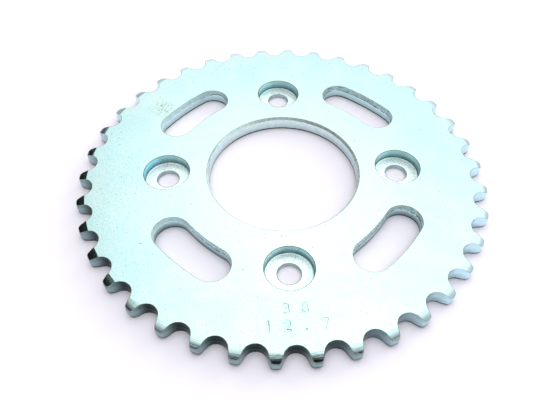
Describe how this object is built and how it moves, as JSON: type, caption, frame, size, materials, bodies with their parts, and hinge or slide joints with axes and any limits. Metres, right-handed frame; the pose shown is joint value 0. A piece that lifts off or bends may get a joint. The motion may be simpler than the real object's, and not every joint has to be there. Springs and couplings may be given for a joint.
{
  "type": "rear sprocket",
  "caption": "Flat toothed chain wheel for a wheel hub, with a wide bore, a circle of counterbored bolt holes and gently curved lightening slots.",
  "frame": {"origin": "centre of the bore on the rear face, which seats on the wheel hub", "axes": "+Z along the bore, out of the counterbored front face; +X through a bolt hole"},
  "size_m": [0.1572, 0.1568, 0.0058],
  "materials": {
    "zinc_plated_steel": "bright zinc plate with a pale blue cast, satin, fine grain, duller on the blanked walls"
  },
  "bodies": {
    "root": {"sprocket_plate": "zinc_plated_steel"}
  },
  "joints": []
}
